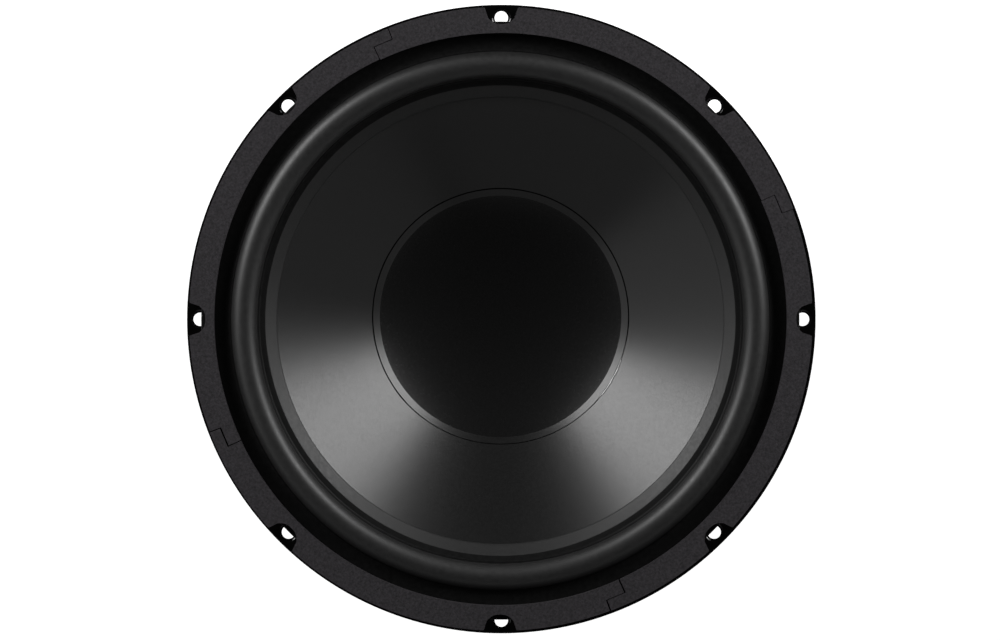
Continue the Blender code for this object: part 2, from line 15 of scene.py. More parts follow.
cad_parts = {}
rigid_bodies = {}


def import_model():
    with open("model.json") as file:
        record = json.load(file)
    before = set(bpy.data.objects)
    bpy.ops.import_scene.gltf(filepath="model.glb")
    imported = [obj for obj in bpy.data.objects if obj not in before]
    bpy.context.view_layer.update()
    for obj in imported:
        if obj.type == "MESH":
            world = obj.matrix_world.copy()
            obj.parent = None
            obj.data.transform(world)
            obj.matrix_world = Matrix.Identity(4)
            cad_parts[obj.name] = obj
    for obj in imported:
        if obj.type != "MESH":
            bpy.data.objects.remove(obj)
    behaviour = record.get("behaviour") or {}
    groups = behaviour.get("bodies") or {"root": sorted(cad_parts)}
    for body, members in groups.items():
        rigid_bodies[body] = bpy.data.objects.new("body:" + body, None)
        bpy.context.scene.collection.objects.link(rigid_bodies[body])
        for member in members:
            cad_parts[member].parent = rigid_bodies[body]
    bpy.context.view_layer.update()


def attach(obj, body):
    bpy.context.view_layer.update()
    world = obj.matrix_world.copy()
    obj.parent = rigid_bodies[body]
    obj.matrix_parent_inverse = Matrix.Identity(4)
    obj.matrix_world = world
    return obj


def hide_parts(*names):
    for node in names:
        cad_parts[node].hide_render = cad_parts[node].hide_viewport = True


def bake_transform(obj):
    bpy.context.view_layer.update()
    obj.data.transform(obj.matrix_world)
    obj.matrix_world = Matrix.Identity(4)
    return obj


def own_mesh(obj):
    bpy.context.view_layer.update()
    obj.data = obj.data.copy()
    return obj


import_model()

MM = 0.001
SEG = 288
GAP = 0.3
FRAME = "frame"
MOVING = "cone_assembly"

for collection_object in list(bpy.data.objects):
    if collection_object.name in ("Cube", "Light", "Camera"):
        bpy.data.objects.remove(collection_object, do_unlink=True)


# ---------------------------------------------------------------- materials
class Paint:
    """A Principled surface whose colour, roughness and relief all vary procedurally."""

    def __init__(self, name):
        self.material = bpy.data.materials.new(name)
        self.material.use_nodes = True
        self.tree = self.material.node_tree
        self.shader = self.tree.nodes["Principled BSDF"]
        self.place = self.tree.nodes.new("ShaderNodeTexCoord").outputs["Object"]
        self.normal = None

    def node(self, kind, **inputs):
        made = self.tree.nodes.new(kind)
        for key, value in inputs.items():
            made.inputs[key.replace("_", " ")].default_value = value
        return made

    def stretched(self, scale):
        made = self.node("ShaderNodeMapping")
        made.inputs["Scale"].default_value = scale
        self.tree.links.new(self.place, made.inputs["Vector"])
        return made.outputs["Vector"]

    def noise(self, scale, detail=5.0, rough=0.6, where=None):
        made = self.node("ShaderNodeTexNoise", Scale=scale, Detail=detail, Roughness=rough)
        self.tree.links.new(where or self.place, made.inputs["Vector"])
        return made.outputs["Fac"]

    def cells(self, scale, where=None):
        made = self.node("ShaderNodeTexVoronoi", Scale=scale)
        self.tree.links.new(where or self.place, made.inputs["Vector"])
        return made.outputs["Distance"]

    def bands(self, period_mm, direction, distortion=0.0, where=None):
        made = self.node("ShaderNodeTexWave", Scale=2 * math.pi / (20 * period_mm * MM))
        made.wave_type = "RINGS" if direction == "RADIAL" else "BANDS"
        if direction == "RADIAL":
            made.rings_direction = "Z"
        else:
            made.bands_direction = direction
        made.inputs["Distortion"].default_value = distortion
        self.tree.links.new(where or self.place, made.inputs["Vector"])
        return made.outputs["Fac"]

    def join(self, a, b, operation):
        made = self.tree.nodes.new("ShaderNodeMath")
        made.operation = operation
        self.tree.links.new(a, made.inputs[0])
        self.tree.links.new(b, made.inputs[1])
        return made.outputs["Value"]

    def colour(self, source, dark, light, low=0.3, high=0.7):
        ramp = self.tree.nodes.new("ShaderNodeValToRGB")
        ramp.color_ramp.elements[0].position = low
        ramp.color_ramp.elements[0].color = (*dark, 1.0)
        ramp.color_ramp.elements[1].position = high
        ramp.color_ramp.elements[1].color = (*light, 1.0)
        self.tree.links.new(source, ramp.inputs["Fac"])
        self.tree.links.new(ramp.outputs["Color"], self.shader.inputs["Base Color"])
        return self

    def roughness(self, source, smooth, rough):
        spread = self.tree.nodes.new("ShaderNodeMapRange")
        spread.inputs["From Min"].default_value = 0.3
        spread.inputs["From Max"].default_value = 0.7
        spread.inputs["To Min"].default_value = smooth
        spread.inputs["To Max"].default_value = rough
        self.tree.links.new(source, spread.inputs["Value"])
        self.tree.links.new(spread.outputs["Result"], self.shader.inputs["Roughness"])
        return self

    def relief(self, source, height_mm, strength=1.0):
        bump = self.tree.nodes.new("ShaderNodeBump")
        bump.inputs["Strength"].default_value = strength
        bump.inputs["Distance"].default_value = height_mm * MM
        self.tree.links.new(source, bump.inputs["Height"])
        if self.normal is not None:
            self.tree.links.new(self.normal, bump.inputs["Normal"])
        self.normal = bump.outputs["Normal"]
        self.tree.links.new(self.normal, self.shader.inputs["Normal"])
        return self

    def set(self, **inputs):
        for key, value in inputs.items():
            self.shader.inputs[key.replace("_", " ")].default_value = value
        return self


def grey(value, tint=(1.0, 1.0, 1.0)):
    return tuple(value * t for t in tint)


enamel = Paint("black enamel")
peel = enamel.noise(420.0, 2.0)
enamel.colour(enamel.noise(90.0), grey(0.0009), grey(0.0020))
enamel.roughness(enamel.noise(160.0, 6.0), 0.08, 0.16)
enamel.set(Specular_IOR_Level=0.7)
enamel.relief(peel, 0.05, 0.5)

foam = Paint("gasket foam")
pores = foam.noise(2100.0, 6.0, 0.7)
foam.colour(foam.noise(850.0, 8.0, 0.8), grey(0.0060, (1.06, 0.95, 1.09)), grey(0.0335, (1.06, 0.95, 1.09)), 0.37, 0.63)
foam.roughness(foam.noise(300.0), 0.66, 0.86)
foam.relief(foam.cells(1900.0), 0.06, 0.5).relief(pores, 0.10, 0.8)
foam.relief(foam.noise(45.0, 3.0), 0.35, 0.5)
foam.set(Specular_IOR_Level=0.35)

rubber = Paint("edge rubber")
skin = rubber.noise(2400.0, 5.0, 0.65)
rubber.colour(rubber.noise(500.0), grey(0.0085), grey(0.0125))
rubber.roughness(rubber.noise(500.0, 6.0), 0.44, 0.52)
rubber.set(Specular_IOR_Level=0.62)
rubber.relief(skin, 0.035, 0.5).relief(rubber.noise(180.0, 3.0), 0.06, 0.3)

# painted shade: darker, less reflective rubber for the groove and the landing, standing in for the shadow that falls
# there
trough_painted_shade = Paint("rubber trough")
trough_painted_shade.colour(trough_painted_shade.noise(500.0), grey(0.0008), grey(0.0018))
trough_painted_shade.roughness(trough_painted_shade.noise(500.0, 6.0), 0.42, 0.54)
trough_painted_shade.set(Specular_IOR_Level=0.22)
trough_painted_shade.relief(trough_painted_shade.noise(2400.0, 5.0, 0.65), 0.035, 0.5)

glued = Paint("glued rubber band")
glued_skin = glued.noise(1500.0, 6.0, 0.7)
glued.colour(glued_skin, grey(0.0055), grey(0.0100))
glued.roughness(glued.noise(600.0, 6.0), 0.44, 0.54)
glued.relief(glued_skin, 0.06, 0.6)

poly = Paint("cone poly")
grain = poly.noise(1900.0, 6.0, 0.7)
poly.colour(grain, grey(0.0050), grey(0.0085))
poly.roughness(poly.noise(700.0, 6.0), 0.29, 0.34)
poly.relief(grain, 0.03, 0.45)

cap_poly = Paint("cap poly")
cap_grain = cap_poly.noise(1700.0, 6.0, 0.7)
cap_poly.colour(cap_grain, grey(0.0044), grey(0.0074))
cap_poly.roughness(cap_poly.noise(700.0, 6.0), 0.24, 0.28)
cap_poly.set(Specular_IOR_Level=0.28)
cap_poly.relief(cap_grain, 0.03, 0.45)

glue = Paint("black adhesive")
glue.colour(glue.noise(400.0), grey(0.003), grey(0.006))
glue.roughness(glue.noise(300.0), 0.14, 0.34)
glue.relief(glue.noise(380.0, 2.0), 0.12, 0.6)

wet_glue = Paint("glossy adhesive")
wet_glue.colour(wet_glue.noise(400.0), grey(0.010), grey(0.020))
wet_glue.roughness(wet_glue.noise(300.0), 0.10, 0.20)
wet_glue.relief(wet_glue.noise(700.0, 2.0), 0.03, 0.4)
wet_glue.set(Specular_IOR_Level=1.0)

# partly real adhesive, partly painted shade: near black and almost unreflective, so it stands in for the shadowed
# crevice round the dust cap's edge
dull_glue_painted_shade = Paint("dull adhesive with painted shade")
dull_glue_painted_shade.colour(dull_glue_painted_shade.noise(400.0), grey(0.0003), grey(0.0007))
dull_glue_painted_shade.roughness(dull_glue_painted_shade.noise(900.0), 0.65, 0.85)
dull_glue_painted_shade.relief(dull_glue_painted_shade.noise(900.0, 3.0), 0.08, 0.6)
dull_glue_painted_shade.set(Specular_IOR_Level=0.02)

cloth = Paint("spider cloth")
weave = cloth.join(
    cloth.bands(0.9, "X", 0.4), cloth.bands(0.9, "Y", 0.4), "MAXIMUM"
)
cloth.colour(weave, (0.34, 0.22, 0.075), (0.58, 0.43, 0.19), 0.1, 0.9)
cloth.roughness(cloth.noise(700.0), 0.78, 0.95)
cloth.relief(weave, 0.16, 0.8).relief(cloth.noise(2600.0), 0.05, 0.5)
cloth.set(Specular_IOR_Level=0.25)

zinc = Paint("zinc plate")
zinc.colour(zinc.noise(120.0, 7.0), (0.50, 0.50, 0.47), (0.64, 0.64, 0.62))
zinc.roughness(zinc.noise(480.0, 6.0), 0.26, 0.44)
zinc.relief(zinc.bands(0.55, "RADIAL", 0.6), 0.012, 0.5).relief(zinc.noise(1500.0), 0.012, 0.5)
zinc.set(Metallic=0.95)

fastener = Paint("fastener steel")
fastener.colour(fastener.noise(600.0, 6.0), (0.42, 0.42, 0.41), (0.60, 0.60, 0.59))
fastener.roughness(fastener.noise(900.0), 0.24, 0.42)
fastener.relief(fastener.noise(2400.0), 0.02, 0.4)
fastener.set(Metallic=0.95)

screen_steel = Paint("screen steel")
screen_steel.colour(screen_steel.noise(500.0), (0.10, 0.10, 0.105), (0.17, 0.17, 0.175))
screen_steel.roughness(screen_steel.noise(900.0), 0.34, 0.52)
screen_steel.relief(screen_steel.noise(2200.0), 0.02, 0.5)
screen_steel.set(Metallic=0.8)

ferrite = Paint("ferrite")
chips = ferrite.noise(380.0, 9.0, 0.75)
ferrite.colour(ferrite.noise(900.0, 6.0), grey(0.030), grey(0.060, (1.0, 1.0, 1.05)))
ferrite.roughness(ferrite.noise(240.0, 6.0), 0.46, 0.72)
ferrite.relief(chips, 0.10, 0.5)

boot = Paint("boot rubber")
boot.colour(boot.noise(700.0, 6.0), grey(0.0065), grey(0.0105))
boot.roughness(boot.noise(400.0, 6.0), 0.48, 0.60)
boot.relief(boot.noise(1800.0, 6.0), 0.05, 0.5)

foil = Paint("former foil")
foil.colour(foil.noise(300.0), (0.58, 0.59, 0.60), (0.72, 0.73, 0.74))
foil.roughness(foil.noise(260.0, 6.0, 0.6, foil.stretched((1.0, 1.0, 14.0))), 0.26, 0.44)
foil.relief(foil.bands(0.35, "Z", 0.8), 0.008, 0.5)
foil.set(Metallic=0.95)

copper = Paint("coil copper")
turns = copper.bands(0.62, "Z")
copper.colour(turns, (0.24, 0.075, 0.025), (0.72, 0.30, 0.12), 0.1, 0.8)
copper.roughness(copper.noise(500.0), 0.24, 0.42)
copper.relief(turns, 0.20, 0.9)
copper.set(Metallic=0.9)

brass = Paint("contact brass")
brass.colour(brass.noise(500.0, 6.0), (0.58, 0.42, 0.17), (0.78, 0.60, 0.30))
brass.roughness(brass.noise(800.0), 0.24, 0.42)
brass.relief(brass.noise(1600.0), 0.02, 0.4)
brass.set(Metallic=0.95)

nylon = Paint("terminal plastic")
nylon.colour(nylon.noise(900.0), grey(0.012), grey(0.018))
nylon.roughness(nylon.noise(400.0, 6.0), 0.38, 0.54)
nylon.relief(nylon.noise(2600.0, 6.0), 0.025, 0.6)


def button_paint(name, dark, light):
    made = Paint(name)
    made.colour(made.noise(700.0), dark, light)
    made.roughness(made.noise(500.0, 6.0), 0.30, 0.46)
    made.relief(made.noise(2400.0, 6.0), 0.018, 0.6)
    return made


red = button_paint("button red", (0.46, 0.012, 0.012), (0.58, 0.022, 0.018))
black = button_paint("button black", grey(0.014), grey(0.021))

spring_steel = Paint("spring steel")
spring_steel.colour(spring_steel.noise(900.0), (0.38, 0.38, 0.39), (0.56, 0.56, 0.57))
spring_steel.roughness(spring_steel.noise(1200.0), 0.22, 0.38)
spring_steel.relief(spring_steel.noise(3000.0), 0.01, 0.4)
spring_steel.set(Metallic=0.95)

solder = Paint("solder")
solder.colour(solder.noise(900.0), (0.42, 0.42, 0.43), (0.62, 0.62, 0.63))
solder.roughness(solder.noise(900.0), 0.20, 0.44)
solder.relief(solder.noise(900.0), 0.06, 0.5)
solder.set(Metallic=0.95)

braid = Paint("tinsel braid")
strands = braid.noise(2600.0, 4.0)
braid.colour(strands, (0.42, 0.25, 0.11), (0.72, 0.50, 0.28))
braid.roughness(braid.noise(900.0), 0.34, 0.58)
braid.relief(braid.bands(0.35, "DIAGONAL", 0.5), 0.05, 0.8)
braid.set(Metallic=0.75)


# ---------------------------------------------------------------- mesh helpers
def finish_mesh(obj, sharp_deg):
    obj.data.shade_smooth()
    obj.data.set_sharp_from_angle(angle=math.radians(sharp_deg))
    return obj


def from_arrays(name, points, faces, paint, sharp_deg=38.0):
    mesh = bpy.data.meshes.new(name)
    mesh.from_pydata([tuple(p) for p in points], [], [tuple(f) for f in faces])
    bm = bmesh.new()
    bm.from_mesh(mesh)
    bmesh.ops.remove_doubles(bm, verts=bm.verts, dist=1e-7)
    bmesh.ops.recalc_face_normals(bm, faces=bm.faces)
    bm.to_mesh(mesh)
    bm.free()
    obj = bpy.data.objects.new(name, mesh)
    bpy.context.scene.collection.objects.link(obj)
    if paint is not None:
        mesh.materials.append(paint.material)
    return finish_mesh(obj, sharp_deg)


def fillet(points, radius, steps=6, closed=False, least=7.0):
    """Replaces each corner of a chain by an arc. radius is one number or one per corner."""
    if closed:
        kept = [i for i, p in enumerate(points) if math.dist(p, points[i - 1]) > 1e-4]
        if isinstance(radius, (list, tuple)):
            radius = [radius[i] for i in kept]
        points = [points[i] for i in kept]
    pts = [Vector(p) for p in points]
    n = len(pts)
    out = []
    for i, q in enumerate(pts):
        r = radius[i] if isinstance(radius, (list, tuple)) else radius
        if (not closed and i in (0, n - 1)) or r <= 0:
            out.append(q)
            continue
        a, b = pts[i - 1] - q, pts[(i + 1) % n] - q
        la, lb = a.length, b.length
        a.normalize()
        b.normalize()
        inside = a.angle(b)
        if math.degrees(math.pi - inside) < least:
            out.append(q)
            continue
        back = min(r / math.tan(inside / 2), la * 0.48, lb * 0.48)
        r = back * math.tan(inside / 2)
        centre = q + (a + b).normalized() * (r / math.sin(inside / 2))
        start, end = q + a * back - centre, q + b * back - centre
        swing = start.angle_signed(end)
        for k in range(steps + 1):
            out.append(centre + Matrix.Rotation(-swing * k / steps, 2) @ start)
    return [tuple(p) for p in out]


def dense(points, step):
    """The same chain with no span longer than step."""
    out = [points[0]]
    for a, b in zip(points, points[1:]):
        n = max(1, math.ceil(math.dist(a, b) / step))
        out += [tuple(a[i] + (b[i] - a[i]) * k / n for i in (0, 1)) for k in range(1, n + 1)]
    return out


def sheet_profile(front, thickness, round_ends=True):
    """A closed profile from a sheet's front face, whose points run from the inside out."""
    p = np.array(front, float)
    if round_ends:
        for end, near in ((0, 1), (-1, -2)):
            d = p[near] - p[end]
            p[end] += d / np.linalg.norm(d) * thickness / 2
    d = np.diff(p, axis=0)
    d /= np.linalg.norm(d, axis=1)[:, None]
    down = np.stack([d[:, 1], -d[:, 0]], 1)
    first, last = down[:1], down[-1:]
    mean = np.concatenate([first, down[:-1] + down[1:], last])
    mean /= np.linalg.norm(mean, axis=1)[:, None]
    cosine = np.concatenate([[1.0], np.einsum("ij,ij->i", mean[1:-1], down[1:]), [1.0]])
    back = p + mean * (thickness / np.maximum(cosine, 0.4))[:, None]
    out = [tuple(x) for x in p]
    if round_ends:
        middle = (p[-1] + back[-1]) / 2
        for k in (1, 2, 3):
            a = math.pi * k / 4
            out.append(tuple(middle + (p[-1] - middle) * math.cos(a) + d[-1] * math.sin(a) * thickness / 2))
    out += [tuple(x) for x in back[::-1]]
    if round_ends:
        middle = (p[0] + back[0]) / 2
        for k in (1, 2, 3):
            a = math.pi * k / 4
            out.append(tuple(middle + (back[0] - middle) * math.cos(a) - d[0] * math.sin(a) * thickness / 2))
    return out


def lathe(name, profile, paint, segments=SEG, sharp_deg=38.0, warp=None):
    """A solid of revolution from a closed profile. warp moves the points by angle."""
    p = np.array(profile, float)
    n = len(p)
    angle = np.arange(segments) * 2 * math.pi / segments
    r = np.repeat(p[None, :, 0], segments, 0)
    z = np.repeat(p[None, :, 1], segments, 0)
    if warp is not None:
        r, z = warp(r, z, angle[:, None])
    points = np.stack(
        [r * np.cos(angle)[:, None], r * np.sin(angle)[:, None], z], -1
    ).reshape(-1, 3) * MM
    faces = []
    for s in range(segments):
        a, b = s * n, ((s + 1) % segments) * n
        for i in range(n):
            j = (i + 1) % n
            if p[i, 0] < 1e-6 and p[j, 0] < 1e-6:
                continue
            if p[i, 0] < 1e-6:
                faces.append((a + i, b + j, a + j))
            elif p[j, 0] < 1e-6:
                faces.append((a + i, b + i, a + j))
            else:
                faces.append((a + i, b + i, b + j, a + j))
    return from_arrays(name, points, faces, paint, sharp_deg)


def prism(name, outline, z_low, z_high, paint):
    """A flat outline in XY carried between two heights."""
    n = len(outline)
    points = [(x * MM, y * MM, z * MM) for z in (z_low, z_high) for x, y in outline]
    faces = [tuple(range(n))[::-1], tuple(range(n, 2 * n))]
    faces += [(i, (i + 1) % n, n + (i + 1) % n, n + i) for i in range(n)]
    return from_arrays(name, points, faces, paint)


def box_piece(name, low, high, paint=None):
    x, y, z = zip(low, high)
    points = [(a * MM, b * MM, c * MM) for c in z for b in y for a in x]
    faces = [(0, 1, 3, 2), (4, 5, 7, 6), (0, 1, 5, 4), (2, 3, 7, 6), (0, 2, 6, 4), (1, 3, 7, 5)]
    return from_arrays(name, points, faces, paint)


def tube(name, line, radius, sides, paint):
    """A round bar along a line of points, with closed ends."""
    line = np.array(line, float)
    tangent = np.gradient(line, axis=0)
    tangent /= np.linalg.norm(tangent, axis=1)[:, None]
    side = np.cross(tangent[0], [0.0, 0.0, 1.0])
    if np.linalg.norm(side) < 1e-3:
        side = np.cross(tangent[0], [0.0, 1.0, 0.0])
    rings = []
    radii = np.broadcast_to(np.asarray(radius, float), (len(line),))
    for p, t, radius in zip(line, tangent, radii):
        side = side - t * (side @ t)
        side /= np.linalg.norm(side)
        up = np.cross(t, side)
        a = np.arange(sides) * 2 * math.pi / sides
        rings.append(p + radius * (np.cos(a)[:, None] * side + np.sin(a)[:, None] * up))
    points = np.concatenate([*rings, line[:1], line[-1:]]) * MM
    m = len(line)
    faces = []
    for k in range(m - 1):
        for i in range(sides):
            j = (i + 1) % sides
            faces.append((k * sides + i, k * sides + j, (k + 1) * sides + j, (k + 1) * sides + i))
    for i in range(sides):
        j = (i + 1) % sides
        faces.append((m * sides, j, i))
        faces.append((m * sides + 1, (m - 1) * sides + i, (m - 1) * sides + j))
    return from_arrays(name, points, faces, paint, 60.0)


def merged(name, pieces, paint=None):
    """One mesh object from several."""
    bm = bmesh.new()
    for piece in pieces:
        mesh = piece.data
        mesh.transform(piece.matrix_world)
        bm.from_mesh(mesh)
        bpy.data.objects.remove(piece, do_unlink=True)
    mesh = bpy.data.meshes.new(name)
    bm.to_mesh(mesh)
    bm.free()
    obj = bpy.data.objects.new(name, mesh)
    bpy.context.scene.collection.objects.link(obj)
    if paint is not None:
        mesh.materials.clear()
        mesh.materials.append(paint.material)
    return finish_mesh(obj, 38.0)


def worked(obj, cutters=(), bevel=0.0, bevel_deg=50.0, segments=3, sharp_deg=38.0):
    """Cuts obj with the cutters, rounds its edges, and leaves it a plain mesh."""
    for cutter in cutters:
        boolean = obj.modifiers.new("cut", "BOOLEAN")
        boolean.operation = "DIFFERENCE"
        boolean.solver = "EXACT"
        boolean.object = cutter
    if bevel:
        edge = obj.modifiers.new("edge", "BEVEL")
        edge.width = bevel * MM
        edge.segments = segments
        edge.limit_method = "ANGLE"
        edge.angle_limit = math.radians(bevel_deg)
        edge.use_clamp_overlap = True
        edge.harden_normals = False
    bpy.context.view_layer.update()
    graph = bpy.context.evaluated_depsgraph_get()
    mesh = bpy.data.meshes.new_from_object(obj.evaluated_get(graph))
    obj.modifiers.clear()
    obj.data = mesh
    for cutter in cutters:
        bpy.data.objects.remove(cutter, do_unlink=True)
    finish_mesh(obj, sharp_deg)
    normals = obj.modifiers.new("normals", "WEIGHTED_NORMAL")
    normals.keep_sharp = True
    normals.weight = 80
    return obj


def turned_about(obj, degrees):
    obj.data.transform(Matrix.Rotation(math.radians(degrees), 4, "Z"))
    return obj


def moved(obj, offset):
    obj.data.transform(Matrix.Translation(Vector(offset) * MM))
    return obj


def polar(radius, degrees):
    a = math.radians(degrees)
    return (radius * math.cos(a), radius * math.sin(a))


def arc(radius, start, end, pitch=0.75):
    n = max(2, math.ceil(abs(end - start) / pitch))
    return [polar(radius, start + (end - start) * k / n) for k in range(n + 1)]


def stands_for(obj, node, body):
    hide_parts(node)
    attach(obj, body)
    return obj


def radial_blend(obj, node):
    """Hides the CAD part and fixes the piece in the world where it was built."""
    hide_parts(node)
    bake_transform(obj)
    return obj


# ---------------------------------------------------------------- dimensions shared with the CAD
CONE_TAN = math.tan(math.radians(31.7))
CONE_COS = math.cos(math.radians(31.7))
FLANGE_Z = 129.0
HOLE_R = 3.45
HOLE_PCR = 149.6
SPOKE_HALF = 12.5
SPOKE_FACE_R = 122.5
SEAT_Z = 45.3


def cone_z(r):
    return 126.6 - (117.0 - r) * CONE_TAN


# ---------------------------------------------------------------- frame
basket_front = fillet(
    [
        (34.0, SEAT_Z),
        (63.4, SEAT_Z),
        (68.8, 58.2),
        (71.0, 59.6),
        (88.4, 59.6),
        (119.3, 79.2),
        (120.9, 81.5),
        (120.9, 107.0),
        (122.3, 109.0),
        (134.2, 115.8),
        (136.8, 126.4),
        (138.9, 129.0),
        (156.0, 129.0),
    ],
    [0, 3.0, 2.8, 2.8, 6.0, 3.0, 3.0, 3.0, 3.0, 3.0, 3.0, 2.7, 0],
    6,
)
basket_profile = fillet(
    sheet_profile(dense(basket_front, 4.0), 1.6, False),
    [0.22 if q[0] > 155.9 or q[0] < 34.1 else 0.0 for q in sheet_profile(dense(basket_front, 4.0), 1.6, False)],
    4,
    True,
)
basket = lathe("frame_pressing", basket_profile, enamel, 240)

cutters = []
for k in range(8):
    left, right = 45.0 * k, 45.0 * k + 45.0

    def spoke_edge(radius, spoke, side):
        return spoke + side * math.degrees(math.asin(SPOKE_HALF / radius))

    outline = arc(93.0, spoke_edge(93.0, left, 1), spoke_edge(93.0, right, -1), 1.2)
    outline += arc(127.0, spoke_edge(127.0, right, -1), spoke_edge(127.0, left, 1), 1.2)
    cutters.append(prism(f"window_{k}", fillet(outline, 8.0, 10, True, 40.0), 50.0, 108.5, None))
windows = merged("windows", cutters)

cutters = []
for k in range(8):
    dimple = lathe(
        f"dimple_{k}",
        [(0.0, 121.0), (3.32, 121.0), (3.32, 127.72), (3.6, 128.02), (4.0, 128.3), (4.4, 128.54), (4.8, 128.73), (5.2, 128.87), (5.6, 128.96), (6.1, 129.04), (6.1, 131.0), (0.0, 131.0)],
        None,
        96,
    )
    cutters.append(moved(dimple, (*polar(HOLE_PCR - 0.1, 45.0 * k), 0.0)))
for k in range(4):
    hole = lathe(f"screw_hole_{k}", [(0.0, 40.0), (2.5, 40.0), (2.5, 50.0), (0.0, 50.0)], None, 40)
    cutters.append(moved(hole, (*polar(50.0, 45.0 + 90.0 * k), 0.0)))
for side in (-1, 1):
    for z in (88.6, 102.8):
        hole = lathe("rivet_hole", [(0.0, -8.0), (1.9, -8.0), (1.9, 8.0), (0.0, 8.0)], None, 32)
        hole.data.transform(Matrix.Rotation(math.pi / 2, 4, "X") @ Matrix.Rotation(0.19, 4, "Z"))
        cutters.append(moved(hole, (0.0, side * SPOKE_FACE_R, z)))
holes = merged("holes", cutters)
worked(basket, [windows, holes], 0.0)
stands_for(basket, "basket", FRAME)

# ---------------------------------------------------------------- gasket
NOTCH_BOTTOM = 146.2
LIP_R = 148.4


def notch_half(radius):
    depth = (radius - NOTCH_BOTTOM) / (149.5 - NOTCH_BOTTOM)
    if depth <= 1:
        return 6.6 * max(depth, 0.0) ** 0.38
    return 6.6 + (radius - 149.5) * 0.33


def notch_side(outer):
    radii = [outer, 153.4, 152.3, 151.2, 150.3, 149.4, 148.7, 148.1, 147.6, 147.2, 146.85, 146.6, 146.4, 146.28]
    return [(r, notch_half(r)) for r in radii]


def gasket_outline(start, end, inner, outer, open_start, open_end):
    gap, end_gap = math.degrees(open_start / 2 / inner), math.degrees(open_end / 2 / inner)
    half, step, end_step = 1.9, open_start / 2, open_end / 2
    edge = math.degrees(math.asin(notch_half(outer) / outer))
    points = arc(inner, end + half - end_gap, start + half + gap)
    points.append(polar(148.7 + step, start + half + gap))
    points.append(polar(148.7 + step, start - half + gap))
    at = start - half + gap
    first = math.ceil(start / 45.0) * 45.0
    for hole in (first, first + 45.0):
        points += arc(outer, at, hole - edge)[:-1]
        side = notch_side(outer)
        points += [polar(r, hole - math.degrees(math.asin(h / r))) for r, h in side]
        points.append(polar(NOTCH_BOTTOM, hole))
        points += [polar(r, hole + math.degrees(math.asin(h / r))) for r, h in side[::-1]]
        at = hole + edge
    points += arc(outer, at, end - half - end_gap)[1:]
    points.append(polar(148.7 - end_step, end - half - end_gap))
    points.append(polar(148.7 - end_step, end + half - end_gap))
    radii = [1.1 if 153.0 < math.hypot(*q) and abs((math.degrees(math.atan2(q[1], q[0])) + 22.5) % 45.0 - 22.5) < 6.0 else 0.25 for q in points[::-1]]
    return fillet(points[::-1], radii, 4, True, 30.0)


# each strip was pressed on by hand, so it sits a little off the circle
STRIPS = [
    (22.6, 113.1, 141.75, 154.6, (0.00, 0.05), 0.30, 0.14),
    (113.1, 203.1, 141.9, 154.3, (-0.35, 0.12), 0.14, 0.42),
    (203.1, 292.6, 141.75, 154.25, (-0.62, -0.02), 0.42, 0.26),
    (292.6, 382.6, 141.6, 154.25, (-0.15, 0.05), 0.26, 0.30),
]
for k, (start, end, inner, outer, offset, open_start, open_end) in enumerate(STRIPS):
    strip = prism(f"gasket_strip_{k + 1}", gasket_outline(start, end, inner, outer, open_start, open_end), 129.3, 135.6, foam)
    rebate = lathe(f"rebate_{k}", [(130.0, 119.0), (149.3, 119.0), (149.3, 130.5), (130.0, 130.5)], None, SEG)
    moved(strip, (*offset, 0.0))
    worked(strip, [rebate], 0.3, 50.0, 3)
    stands_for(strip, f"gasket_{k + 1}", FRAME)

# ---------------------------------------------------------------- rubber edge
band_lift = (GAP + 0.8) / CONE_COS
roll = [
    (127.3 + 6.75 * math.cos(math.radians(a)), 128.95 + 6.75 * math.sin(math.radians(a)))
    for a in np.linspace(172.0, 12.0, 41)
]
edge_front = (
    [(110.8, cone_z(110.8) + band_lift), (116.6, cone_z(116.6) + band_lift)]
    + [(118.2, 128.1), (119.5, 128.4)]
    + roll
    + [(135.3, 130.2), (LIP_R, 130.2)]
)
radii = [0, 1.5, 0.5, 0.6] + [0.0] * 40 + [0.9, 0.9, 0]
radii[4] = 0.5
edge_front = dense(fillet(edge_front, radii, 5), 1.6)
surround = lathe("edge_roll", sheet_profile(edge_front, 0.8), rubber, SEG, 50.0)
surround.data.materials.append(glued.material)
surround.data.materials.append(trough_painted_shade.material)
# faces in the groove (under 120.3) and on the landing by the gasket (over 133.4) get painted shade: darker, less
# reflective rubber in place of the shadow there
for face in surround.data.polygons:
    at = math.hypot(face.center.x, face.center.y) / MM
    if at < 117.2:
        face.material_index = 1
    elif at < 120.3 or at > 133.4:
        face.material_index = 2
moved(surround, (-0.5, -0.72, 0.0))  # centred by hand when it was glued
radial_blend(surround, "surround")

# ---------------------------------------------------------------- cone and dust cap
cone_front = dense(
    fillet(
        [(26.4, 66.2), (26.4, cone_z(26.4) + 0.2), (117.0, 126.6)], [0, 1.2, 0], 8
    ),
    2.0,
)
cone = lathe("cone_body", sheet_profile(cone_front, 1.2), poly, SEG)
stands_for(cone, "cone", MOVING)

